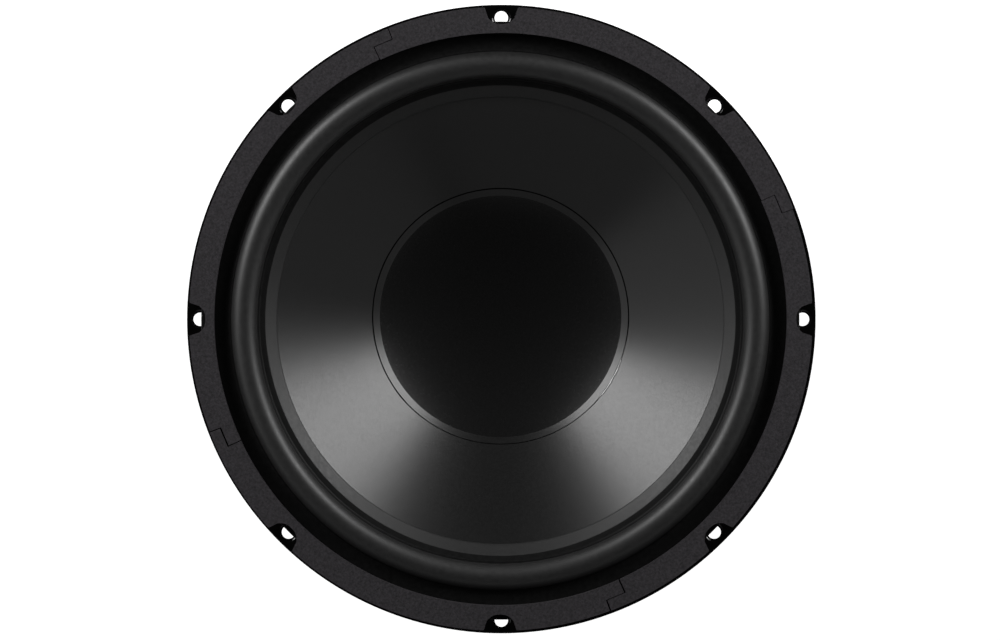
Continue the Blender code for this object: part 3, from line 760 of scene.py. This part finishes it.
CAP_SHEET = 0.45
CONE_RISE = (cone_z(64.0) - cone_z(60.0)) / 4.0
cap_lift = (CAP_SHEET + 0.05) / CONE_COS
dish_r = 60.62 / math.sin(math.radians(24.0))
dish_top = cone_z(60.62) + cap_lift
cap_front = [
    (
        dish_r * math.sin(math.radians(a)),
        dish_top - dish_r * (math.cos(math.radians(a)) - math.cos(math.radians(24.0))),
    )
    for a in np.linspace(0.0, 24.0, 37)
]
CAP_EDGE = 63.92
cap_front.append((CAP_EDGE, cone_z(CAP_EDGE) + cap_lift))
cap_front = fillet(cap_front, [0] * 36 + [0.5, 0], 4, False, 3.0)
cap_profile = sheet_profile(cap_front, CAP_SHEET, False)
cap_profile[len(cap_front)] = (CAP_EDGE, cap_front[-1][1] - CAP_SHEET / CONE_COS)  # trimmed upright
cap_profile = [p for p in cap_profile if p[0] > 0.35]
cap_profile[0] = (0.0, cap_front[0][1])
cap_profile[-1] = (0.0, cap_front[0][1] - CAP_SHEET)
cap = lathe("dust_cap_dish", cap_profile, cap_poly, SEG, 50.0)
CAP_SHIFT = (-0.35, 0.85, 0.0)  # it was glued a little off the middle


def seated(obj):
    """Shifts a piece with the cap, tilted so that its edge still lies on the cone."""
    moved(obj, CAP_SHIFT)
    lean = Matrix.Identity(4)
    lean[2][0] = CAP_SHIFT[0] * CONE_RISE / CAP_EDGE
    lean[2][1] = CAP_SHIFT[1] * CONE_RISE / CAP_EDGE
    obj.data.transform(lean)
    return obj


seated(cap)
cap.data.materials.append(poly.material)
for face in cap.data.polygons:
    if math.dist(face.center.xy, [c * MM for c in CAP_SHIFT[:2]]) > 60.72 * MM:
        face.material_index = 1
stands_for(cap, "dust_cap", MOVING)


# the adhesive shows as a dull thread round the cap's edge, near black and almost unreflective, so it also paints the
# shade of the crevice under the cap's edge; thin on the lower side, with one glossy smear
def thin_out(r, z, angle):
    degrees_at = np.degrees(angle) % 360.0
    rise = np.clip((degrees_at - 218.0) / 22.0, 0.0, 1.0)
    fall = np.clip((358.0 - degrees_at) / 12.0, 0.0, 1.0)
    waver = 0.035 * np.sin(11 * angle) + 0.025 * np.sin(29 * angle + 1.0)
    back = 0.42 * np.minimum(rise, fall) + waver
    return np.where(r > 63.9, r - back * np.clip((r - 63.88) / 0.25, 0.0, 1.0), r), z


thread = lathe(
    "cap_glue_and_shade_thread",
    [
        (63.2, cone_z(63.2) + 0.02),
        (63.90, cone_z(63.90) + 0.30),
        (64.15, cone_z(64.15) + 0.34),
        (64.48, cone_z(64.48) + 0.20),
        (64.48, cone_z(64.48) - 0.9),
        (63.2, cone_z(63.2) - 0.9),
    ],
    dull_glue_painted_shade, SEG, 80.0, thin_out,
)
seated(thread)
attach(thread, MOVING)

film_points, film_faces = [], []
FILM_STEPS, FILM_SIDES = 220, 14
for k in range(FILM_STEPS + 1):
    t = k / FILM_STEPS
    a = math.radians(316.0 + 28.0 * t)
    swell = math.sin(math.pi * t) ** 0.5
    half = 0.05 + 0.30 * swell * (1 + 0.16 * math.sin(31 * t) + 0.10 * math.sin(83 * t + 0.7))
    r_mid = 63.90 + half + 0.05 * math.sin(19 * t + 1.0)
    top = 0.22 + 0.26 * swell
    section = [(-half, -0.7)]
    for i in range(FILM_SIDES - 2):
        u = -1.0 + 2.0 * i / (FILM_SIDES - 3)
        section.append((half * u, top - 0.16 * abs(u) ** 5 - 0.015 * u * u))
    section.append((half, -0.7))
    for across, up in section:
        r_at = r_mid + across
        film_points.append((r_at * math.cos(a) * MM, r_at * math.sin(a) * MM, (cone_z(r_at) + up) * MM))
    if k:
        for i in range(FILM_SIDES):
            j = (i + 1) % FILM_SIDES
            film_faces.append(((k - 1) * FILM_SIDES + i, (k - 1) * FILM_SIDES + j, k * FILM_SIDES + j, k * FILM_SIDES + i))
film_faces.append(tuple(range(FILM_SIDES)))
film_faces.append(tuple(range(FILM_STEPS * FILM_SIDES, (FILM_STEPS + 1) * FILM_SIDES))[::-1])
smear = from_arrays("cap_glue_smear", film_points, film_faces, wet_glue, 60.0)
seated(smear)
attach(smear, MOVING)

# ---------------------------------------------------------------- coil and spider
def ring(r_in, r_out, z_low, z_high, rounding, steps=4):
    corners = [(r_in, z_low), (r_out, z_low), (r_out, z_high), (r_in, z_high)]
    return fillet(corners, rounding, steps, True)


stands_for(
    lathe("former_tube", ring(25.4, 25.9, 26.4, 71.5, 0.12, 2), foil, 192),
    "voice_coil_former", MOVING,
)
stands_for(
    lathe("coil_winding", ring(26.2, 27.6, 26.4, 52.4, 0.3), copper, 192),
    "voice_coil", MOVING,
)

spider_front = [(26.5, 57.3), (26.5, 60.2), (27.3, 60.5)]
for k in range(145):
    r = 29.0 + (70.6 - 29.0) * k / 144
    fade = min(1.0, (r - 29.0) / 3.0, (70.6 - r) / 2.4)
    phase = (r - 32.0) / ((68.5 - 32.0) / 8) * math.pi
    spider_front.append((r, 60.5 + 1.45 * fade * math.cos(phase)))
spider_front += [(72.5, 60.5), (84.5, 60.5)]
spider_front = dense(fillet(spider_front, [0, 0.5] + [0.0] * (len(spider_front) - 2), 4), 3.0)
spider = lathe("spider_cloth_disc", sheet_profile(spider_front, 0.5), cloth, SEG, 60.0)
radial_blend(spider, "spider")

# ---------------------------------------------------------------- motor
stands_for(
    lathe(
        "yoke_casting",
        fillet(
            [
                (11.0, 45.0), (25.0, 45.0), (25.0, 9.8), (70.0, 9.8), (70.0, 1.8),
                (14.2, 1.8), (14.2, 4.0), (11.0, 4.0),
            ],
            [0.5, 1.2, 0.6, 0.6, 0.8, 0.4, 0.2, 0.4], 5, True,
        ),
        zinc,
    ),
    "yoke", FRAME,
)
stands_for(
    lathe(
        "magnet_ring",
        fillet([(33.0, 10.1), (73.9, 10.1), (75.0, 11.2), (75.0, 34.0), (73.9, 35.1), (33.0, 35.1)], 0.3, 3, True),
        ferrite,
    ),
    "magnet", FRAME,
)
top_plate = lathe("front_plate", ring(28.3, 70.0, 35.4, 43.4, 0.6), zinc)
taps = []
for k in range(4):
    tap = lathe(f"tap_{k}", [(0.0, 30.0), (2.4, 30.0), (2.4, 50.0), (0.0, 50.0)], None, 40)
    taps.append(moved(tap, (*polar(50.0, 45.0 + 90.0 * k), 0.0)))
worked(top_plate, [merged("taps", taps)])
stands_for(top_plate, "top_plate", FRAME)

stands_for(
    lathe(
        "boot_cover",
        fillet(
            [
                (68.5, 45.3), (77.5, 45.3), (77.5, 0.0), (24.0, 0.0), (24.0, 1.5),
                (75.3, 1.5), (75.3, 43.7), (68.5, 43.7),
            ],
            [0.7, 1.7, 1.7, 0.7, 0.7, 0.8, 0.5, 0.7], 6, True,
        ),
        boot,
    ),
    "magnet_boot", FRAME,
)

screen = lathe("vent_mesh", fillet([(0.0, 2.7), (13.8, 2.7), (13.8, 3.6), (0.0, 3.6)], [0, 0.25, 0.25, 0], 3, True), screen_steel, 128)
meshes = []
for k in range(7):
    hole = lathe(f"mesh_hole_{k}", [(0.0, -5.0), (2.7, -5.0), (2.7, 10.0), (0.0, 10.0)], None, 48)
    meshes.append(moved(hole, (*polar(0.0 if k == 6 else 7.6, 60.0 * k), 0.0)))
worked(screen, [merged("mesh_holes", meshes)], 0.12, 50.0, 2)
stands_for(screen, "vent_screen", FRAME)

for k in range(4):
    dome = [(4.2, 45.6), (4.2, 46.0)] + [
        (4.2 * math.cos(a), 46.0 + 1.8 * math.sin(a)) for a in np.linspace(0.15, math.pi / 2, 9)
    ]
    dome[-1] = (0.0, 47.8)
    profile = dome + [(0.0, 37.0), (1.4, 37.0), (2.0, 37.6), (2.0, 45.6)]
    screw = lathe(f"screw_{k + 1}", profile, fastener, 64)
    slots = [
        box_piece("slot", (-1.9, -0.45, 46.5), (1.9, 0.45, 49.0)),
        box_piece("slot", (-0.45, -1.9, 46.45), (0.45, 1.9, 49.0)),
    ]
    for slot_cutter in slots:
        turned_about(slot_cutter, 17.0 + 31.0 * k)
    worked(screw, slots, 0.10, 50.0, 2)
    moved(screw, (*polar(50.0, 45.0 + 90.0 * k), 0.0))
    stands_for(screw, f"plate_screw_{k + 1}", FRAME)

# ---------------------------------------------------------------- terminals
BACK_Y = SPOKE_FACE_R + GAP
MID_V = 2.2 + 7.1 / 2


def slab(name, low, high, degrees, paint=None):
    """A box given as across, outwards and up from the spoke's face."""
    made = box_piece(
        name,
        (min(low[0], high[0]), -(BACK_Y + high[1]), low[2]),
        (max(low[0], high[0]), -(BACK_Y + low[1]), high[2]),
        paint,
    )
    return turned_about(made, degrees)


def smooth_route(points, count):
    pts = [Vector(p) for p in points]
    pts = [2 * pts[0] - pts[1]] + pts + [2 * pts[-1] - pts[-2]]
    spans = len(pts) - 3
    out = []
    for k in range(count):
        at = k / (count - 1) * spans
        i = min(int(at), spans - 1)
        t = at - i
        a, b, c, d = pts[i : i + 4]
        out.append(
            0.5 * (2 * b + (c - a) * t + (2 * a - 5 * b + 4 * c - d) * t * t
                   + (3 * b - a - 3 * c + d) * t * t * t)
        )
    return np.array([tuple(p) for p in out])


def stranded(name, line, radius, paint):
    """Three strands laid round one another within the given radius."""
    tangent = np.gradient(line, axis=0)
    tangent /= np.linalg.norm(tangent, axis=1)[:, None]
    length = np.concatenate([[0.0], np.cumsum(np.linalg.norm(np.diff(line, axis=0), axis=1))])
    side = np.cross(tangent[0], [0.0, 0.0, 1.0])
    sides, ups = [], []
    for t in tangent:
        side = side - t * (side @ t)
        side /= np.linalg.norm(side)
        sides.append(side.copy())
        ups.append(np.cross(t, side))
    sides, ups = np.array(sides), np.array(ups)
    each = radius * 0.464
    away = radius - each
    made = []
    for k in range(3):
        a = length / 4.2 * 2 * math.pi + k * 2 * math.pi / 3
        path = line + away * (np.cos(a)[:, None] * sides + np.sin(a)[:, None] * ups)
        made.append(tube(f"{name}_{k}", path, each, 10, paint))
    return merged(name, made, paint)


def lump(name, centre, size, paint, seed):
    """A small rounded blob with an uneven surface."""
    bm = bmesh.new()
    bmesh.ops.create_icosphere(bm, subdivisions=4, radius=1.0)
    rng = np.random.default_rng(seed)
    waves = rng.normal(size=(5, 3)) * 2.2
    shift = rng.uniform(0, 6.28, 5)
    for v in bm.verts:
        p = np.array(v.co)
        grow = 1.0 + 0.05 * float(np.sin(waves @ p + shift).sum())
        v.co = Vector([p[i] * grow * size[i] * MM for i in range(3)])
    mesh = bpy.data.meshes.new(name)
    bm.to_mesh(mesh)
    bm.free()
    obj = bpy.data.objects.new(name, mesh)
    bpy.context.scene.collection.objects.link(obj)
    mesh.materials.append(paint.material)
    return moved(finish_mesh(obj, 60.0), centre)


number = 0
for index, degrees in enumerate((0.0, 180.0)):
    body = slab(f"terminal_body_{index + 1}", (-17.0, 0.0, 86.0), (17.0, 12.0, 106.0), degrees, nylon)
    cuts = []
    for s in (-1, 1):
        u = s * 9.0
        cuts.append(merged("channel", [slab("channel", (u - 4.3, 2.2, 81.0), (u + 4.3, 9.3, 104.0), degrees)]))
    channels = merged("channels", cuts)
    cuts = [
        slab("port", (s * 9.0 - 2.6, 0.9, 91.4), (s * 9.0 + 2.6, 17.0, 96.6), degrees) for s in (-1, 1)
    ]
    ports = merged("ports", cuts)
    cuts = [
        slab("groove", (s * 5.6, -3.0, 91.2), (s * 22.0, 1.5, 96.8), degrees) for s in (-1, 1)
    ]
    for z in (88.6, 102.8):
        hole = lathe("block_hole", [(0.0, -10.0), (1.9, -10.0), (1.9, 20.0), (0.0, 20.0)], None, 32)
        hole.data.transform(Matrix.Rotation(math.pi / 2, 4, "X"))
        moved(hole, (0.0, -BACK_Y, z))
        cuts.append(turned_about(hole, degrees))
    grooves = merged("grooves", cuts)
    worked(body, [channels, ports, grooves], 0.45, 50.0, 3)
    stands_for(body, f"terminal_block_{index + 1}", FRAME)

    for j, z in enumerate((88.6, 102.8)):
        profile = [
            (0.0, 13.7), (1.0, 13.62), (1.9, 13.3), (2.5, 12.85), (2.78, 12.45), (2.8, 12.3),
            (1.5, 12.3), (1.5, -2.5), (2.7, -2.5), (2.7, -2.9), (1.6, -3.6), (0.0, -3.6),
        ]
        profile = [(r, max(h, -3.6)) for r, h in profile]
        rivet = lathe(f"rivet_body_{index * 2 + j + 1}", profile, fastener, 48, 50.0)
        rivet.data.transform(Matrix.Rotation(math.pi / 2, 4, "X"))
        moved(rivet, (0.0, -BACK_Y, z))
        turned_about(rivet, degrees)
        stands_for(rivet, f"rivet_{index * 2 + j + 1}", FRAME)

    for s in (-1, 1):
        number += 1
        u = s * 9.0
        paint = red if number % 2 else black
        button = slab(f"button_body_{number}", (u - 4.0, MID_V - 3.25, 81.0), (u + 4.0, MID_V + 3.25, 95.5), degrees, paint)
        cuts = [slab("slot", (u - 2.6, MID_V - 10.0, 88.0), (u + 2.6, MID_V + 10.0, 93.0), degrees)]
        for step in range(3):
            z = 82.2 + 1.2 * step
            cuts.append(slab("grip", (u - 6.0, MID_V + 3.0, z), (u + 6.0, MID_V + 6.0, z + 0.55), degrees))
        worked(button, [merged("button_cuts", cuts)], 0.22, 50.0, 3)
        stands_for(
            button, f"push_button_{number}", f"button_{number}",
        )

        low, high = 96.1, 103.4
        turns_count, per_turn = 5, 28
        line = []
        for i in range(turns_count * per_turn + 1):
            a = 2 * math.pi * i / per_turn
            rise = i / (turns_count * per_turn)
            line.append((u + 2.4 * math.cos(a), -(BACK_Y + MID_V + 2.4 * math.sin(a)), low + (high - low) * rise))
        spring = turned_about(tube(f"spring_coil_{number}", line, 0.3, 10, spring_steel), degrees)
        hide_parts(f"button_spring_{number}")
        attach(spring, FRAME)
        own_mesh(spring)

        contact = slab(f"contact_strip_{number}", (s * 6.2, 0.4, 91.7), (s * 22.5, 1.2, 96.3), degrees, brass)
        worked(contact, [], 0.18, 50.0, 2)
        stands_for(contact, f"contact_{number}", FRAME)

        route = [
            (s * 20.2, SPOKE_FACE_R + 0.35, 94.0),
            (s * 20.0, 114.0, 95.2),
            (s * 18.6, 100.0, 92.6),
            (s * 16.2, 84.0, 84.0),
            (s * 13.2, 68.0, 74.4),
            (s * 9.8, 52.0, 68.4),
            (s * 6.8, 38.0, 65.8),
            (s * 5.0, 26.9, 65.0),
        ]
        route = [(x, -y, z) for x, y, z in route]
        lead = turned_about(stranded(f"lead_strands_{number}", smooth_route(route, 220), 0.9, braid), degrees)
        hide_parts(f"tinsel_lead_{number}")
        side = -1 if index == 0 else 1
        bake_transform(lead)

        joint = lump(f"solder_joint_{number}", (s * 20.2, -123.3, 94.0), (1.5, 0.75, 1.7), solder, number)
        turned_about(joint, degrees)
        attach(joint, FRAME)
        dab = lump(f"lead_glue_{number}", (s * 5.0, -27.2, 65.0), (1.9, 0.9, 1.7), glue, 10 + number)
        turned_about(dab, degrees)
        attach(dab, MOVING)

# ---------------------------------------------------------------- studio
sweep = fillet([(0.0, -0.3), (9000.0, -0.3), (9000.0, 1000.0)], [0, 450.0, 0], 16)
p = np.array(sweep)
n = len(p)
around = 96
angle = np.arange(around) * 2 * math.pi / around
points = np.stack(
    [p[None, :, 0] * np.cos(angle)[:, None], p[None, :, 0] * np.sin(angle)[:, None], np.repeat(p[None, :, 1], around, 0)], -1
).reshape(-1, 3) * MM
faces = []
for s in range(around):
    a, b = s * n, ((s + 1) % around) * n
    faces.append((a, a + 1, b + 1))
    faces += [(a + i, a + i + 1, b + i + 1, b + i) for i in range(1, n - 1)]
paper = Paint("studio paper")
paper.colour(paper.noise(3.0), (0.80, 0.80, 0.80), (0.82, 0.82, 0.82))
paper.roughness(paper.noise(40.0), 0.85, 0.95)
paper.set(Emission_Color=(1.0, 1.0, 1.0, 1.0), Emission_Strength=0.74, Specular_IOR_Level=0.1)
floor = from_arrays("studio_floor", points, faces, paper, 180.0)


def softbox(name, azimuth, zenith, distance, size, watts):
    data = bpy.data.lights.new(name, "AREA")
    data.shape = "RECTANGLE"
    data.size, data.size_y = size
    data.energy = watts
    obj = bpy.data.objects.new(name, data)
    bpy.context.scene.collection.objects.link(obj)
    a, e = math.radians(azimuth), math.radians(zenith)
    toward = Vector((math.sin(e) * math.cos(a), math.sin(e) * math.sin(a), math.cos(e)))
    aim = Vector((0.0, 0.0, 0.12))
    obj.location = aim + toward * distance
    obj.rotation_mode = "QUATERNION"
    obj.rotation_quaternion = (-toward).to_track_quat("-Z", "Y")
    return obj


softbox("softbox_right", 33.0, 62.5, 1.3, (0.80, 0.46), 12.5)
softbox("softbox_left", 145.0, 62.5, 1.3, (0.80, 0.46), 13.0)
softbox("fill_low", 258.0, 60.0, 1.6, (1.7, 0.7), 0.95)
softbox("fill_left", 196.0, 62.0, 1.6, (1.2, 0.6), 1.7)
softbox("fill_right", 322.0, 62.0, 1.6, (1.4, 0.6), 0.9)

world = bpy.data.worlds.new("studio")
world.use_nodes = True
world.node_tree.nodes["Background"].inputs["Color"].default_value = (1.0, 1.0, 1.0, 1.0)
world.node_tree.nodes["Background"].inputs["Strength"].default_value = 0.012
bpy.context.scene.world = world
bpy.context.scene.view_settings.view_transform = "Standard"

camera_data = bpy.data.cameras.new("front_camera")
camera_data.sensor_width = 36.0
camera_data.lens = 36.0 * 3000.0 / 496.18
camera_data.clip_start, camera_data.clip_end = 0.05, 40.0
camera = bpy.data.objects.new("front_camera", camera_data)
tilt = math.radians(-0.93)
camera.rotation_euler = (tilt, 0.0, 0.0)
camera.location = (-0.66 * MM, -0.33 * MM - 3.0 * math.sin(tilt), 0.129 + 3.0 * math.cos(tilt))
bpy.context.scene.collection.objects.link(camera)
bpy.context.scene.camera = camera

bpy.context.view_layer.update()
